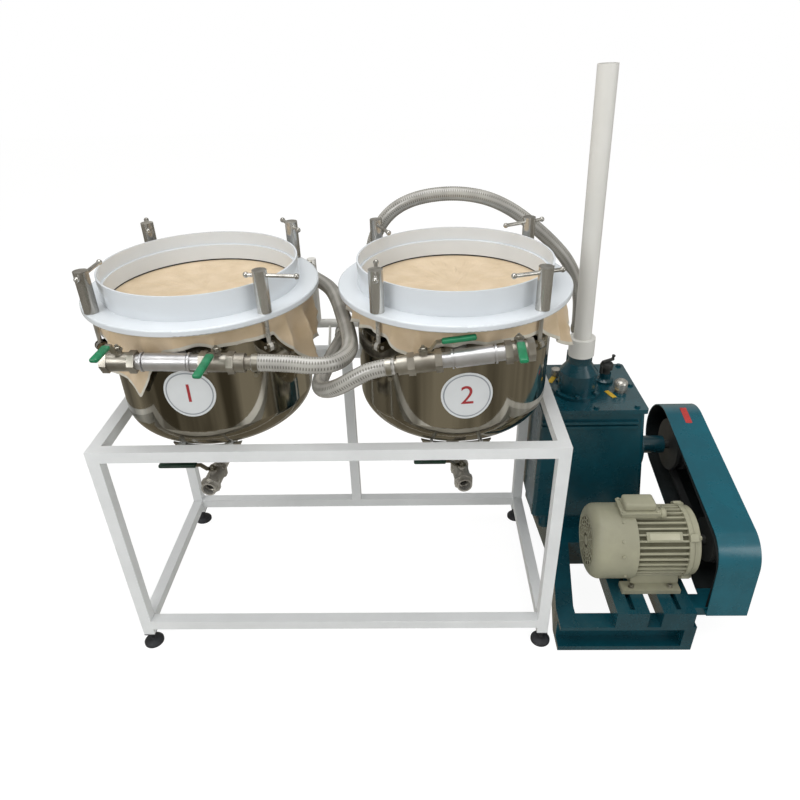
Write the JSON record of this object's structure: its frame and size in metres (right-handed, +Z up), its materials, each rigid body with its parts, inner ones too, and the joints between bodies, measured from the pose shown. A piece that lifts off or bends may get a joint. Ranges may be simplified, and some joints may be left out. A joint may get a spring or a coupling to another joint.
{
  "type": "vacuum oil filter machine",
  "caption": "Two polished filter tubs with white clamp rings in a square-tube frame, piped to a belt-driven vacuum pump.",
  "frame": {"origin": "on the floor, below the middle of the machine without its hoses", "axes": "+X from the filter frame towards the belt guard, -Y is the side with the valves, +Z up"},
  "size_m": [1.702, 0.7921, 1.4329],
  "materials": {
    "white_paint": "satin",
    "mirror_steel": "polished",
    "brushed_steel": "brushed",
    "zinc": "satin",
    "cloth": "woven",
    "black_rubber": "matt",
    "hose_plastic": "ribbed",
    "teal_paint": "satin",
    "motor_paint": "satin",
    "green_grip": "matt",
    "pvc": "gloss",
    "dark_steel": "matt"
  },
  "bodies": {
    "machine": {"tub_wall_left": "mirror_steel", "tub_bottom_left": "mirror_steel", "filter_screen_left": "brushed_steel", "filter_cloth_left": "cloth", "gasket_left": "black_rubber", "clamp_ring_left": "white_paint", "swing_bolts_left": "brushed_steel", "suction_pipe_left": "mirror_steel", "suction_valves_left": "brushed_steel", "drain_left": "brushed_steel", "tub_wall_right": "mirror_steel", "tub_bottom_right": "mirror_steel", "filter_screen_right": "brushed_steel", "filter_cloth_right": "cloth", "gasket_right": "black_rubber", "clamp_ring_right": "white_paint", "swing_bolts_right": "brushed_steel", "suction_pipe_right": "mirror_steel", "suction_valves_right": "brushed_steel", "drain_right": "brushed_steel", "frame_front": "white_paint", "frame_back": "white_paint", "frame_sides": "white_paint", "frame_legs": "white_paint", "tub_supports": "white_paint", "frame_feet": "black_rubber", "vacuum_header": "pvc", "hose_left": "hose_plastic", "hose_right": "hose_plastic", "hose_arch": "hose_plastic", "pump_base": "teal_paint", "pump_tank": "teal_paint", "pump_top_plate": "teal_paint", "exhaust_stack": "teal_paint", "belt_guard": "teal_paint", "slide_rails": "teal_paint", "pump_inlet": "teal_paint", "exhaust_pipe": "pvc", "oil_filler": "dark_steel", "pump_knobs": "brushed_steel", "pump_pulley": "dark_steel", "motor_pulley": "dark_steel", "drive_belt": "black_rubber", "motor_body": "motor_paint", "fan_cover": "motor_paint", "terminal_box": "motor_paint"},
    "nut_left_front_left": {"nut_left_front_left": "mirror_steel"},
    "nut_left_front_right": {"nut_left_front_right": "mirror_steel"},
    "nut_left_back_right": {"nut_left_back_right": "mirror_steel"},
    "nut_left_back_left": {"nut_left_back_left": "mirror_steel"},
    "vent_lever_left": {"vent_lever_left": "green_grip"},
    "hose_lever_left": {"hose_lever_left": "green_grip"},
    "drain_lever_left": {"drain_lever_left": "green_grip"},
    "nut_right_front_left": {"nut_right_front_left": "mirror_steel"},
    "nut_right_front_right": {"nut_right_front_right": "mirror_steel"},
    "nut_right_back_right": {"nut_right_back_right": "mirror_steel"},
    "nut_right_back_left": {"nut_right_back_left": "mirror_steel"},
    "vent_lever_right": {"vent_lever_right": "green_grip"},
    "hose_lever_right": {"hose_lever_right": "green_grip"},
    "drain_lever_right": {"drain_lever_right": "green_grip"}
  },
  "joints": [
    {"name": "nut_left_front_left_turn", "type": "hinge", "parent": "machine", "child": "nut_left_front_left", "pos_m": [-0.77051, -0.16417, 1], "axis": [0, 0, 1], "continuous": true},
    {"name": "nut_left_front_right_turn", "type": "hinge", "parent": "machine", "child": "nut_left_front_right", "pos_m": [-0.3802, -0.1778, 1], "axis": [0, 0, 1], "continuous": true},
    {"name": "nut_left_back_right_turn", "type": "hinge", "parent": "machine", "child": "nut_left_back_right", "pos_m": [-0.37058, 0.18966, 1], "axis": [0, 0, 1], "continuous": true},
    {"name": "nut_left_back_left_turn", "type": "hinge", "parent": "machine", "child": "nut_left_back_left", "pos_m": [-0.75447, 0.20306, 1], "axis": [0, 0, 1], "continuous": true},
    {"name": "vent_lever_left_turn", "type": "hinge", "parent": "machine", "child": "vent_lever_left", "pos_m": [-0.68425, -0.2665, 0.94403], "axis": [0.0262, 0, 0.9997], "range_deg": [-90, 0]},
    {"name": "hose_lever_left_turn", "type": "hinge", "parent": "machine", "child": "hose_lever_left", "pos_m": [-0.47333, -0.2665, 0.9385], "axis": [0.0262, 0, 0.9997], "range_deg": [0, 90]},
    {"name": "drain_lever_left_turn", "type": "hinge", "parent": "machine", "child": "drain_lever_left", "pos_m": [-0.57774, -0.15577, 0.544], "axis": [0, 0, 1], "range_deg": [0, 90]},
    {"name": "nut_right_front_left_turn", "type": "hinge", "parent": "machine", "child": "nut_right_front_left", "pos_m": [-0.13266, -0.18742, 1], "axis": [0, 0, 1], "continuous": true},
    {"name": "nut_right_front_right_turn", "type": "hinge", "parent": "machine", "child": "nut_right_front_right", "pos_m": [0.22466, -0.18742, 1], "axis": [0, 0, 1], "continuous": true},
    {"name": "nut_right_back_right_turn", "type": "hinge", "parent": "machine", "child": "nut_right_back_right", "pos_m": [0.24751, 0.18617, 1], "axis": [0, 0, 1], "continuous": true},
    {"name": "nut_right_back_left_turn", "type": "hinge", "parent": "machine", "child": "nut_right_back_left", "pos_m": [-0.14927, 0.19309, 1], "axis": [0, 0, 1], "continuous": true},
    {"name": "vent_lever_right_turn", "type": "hinge", "parent": "machine", "child": "vent_lever_right", "pos_m": [0.16579, -0.2665, 0.95591], "axis": [-0.1219, 0, 0.9925], "range_deg": [0, 90]},
    {"name": "hose_lever_right_turn", "type": "hinge", "parent": "machine", "child": "hose_lever_right", "pos_m": [-0.03372, -0.2665, 0.93141], "axis": [-0.1219, 0, 0.9925], "range_deg": [-90, 0]},
    {"name": "drain_lever_right_turn", "type": "hinge", "parent": "machine", "child": "drain_lever_right", "pos_m": [0.06346, -0.15509, 0.548], "axis": [0, 0, 1], "range_deg": [0, 90]}
  ]
}
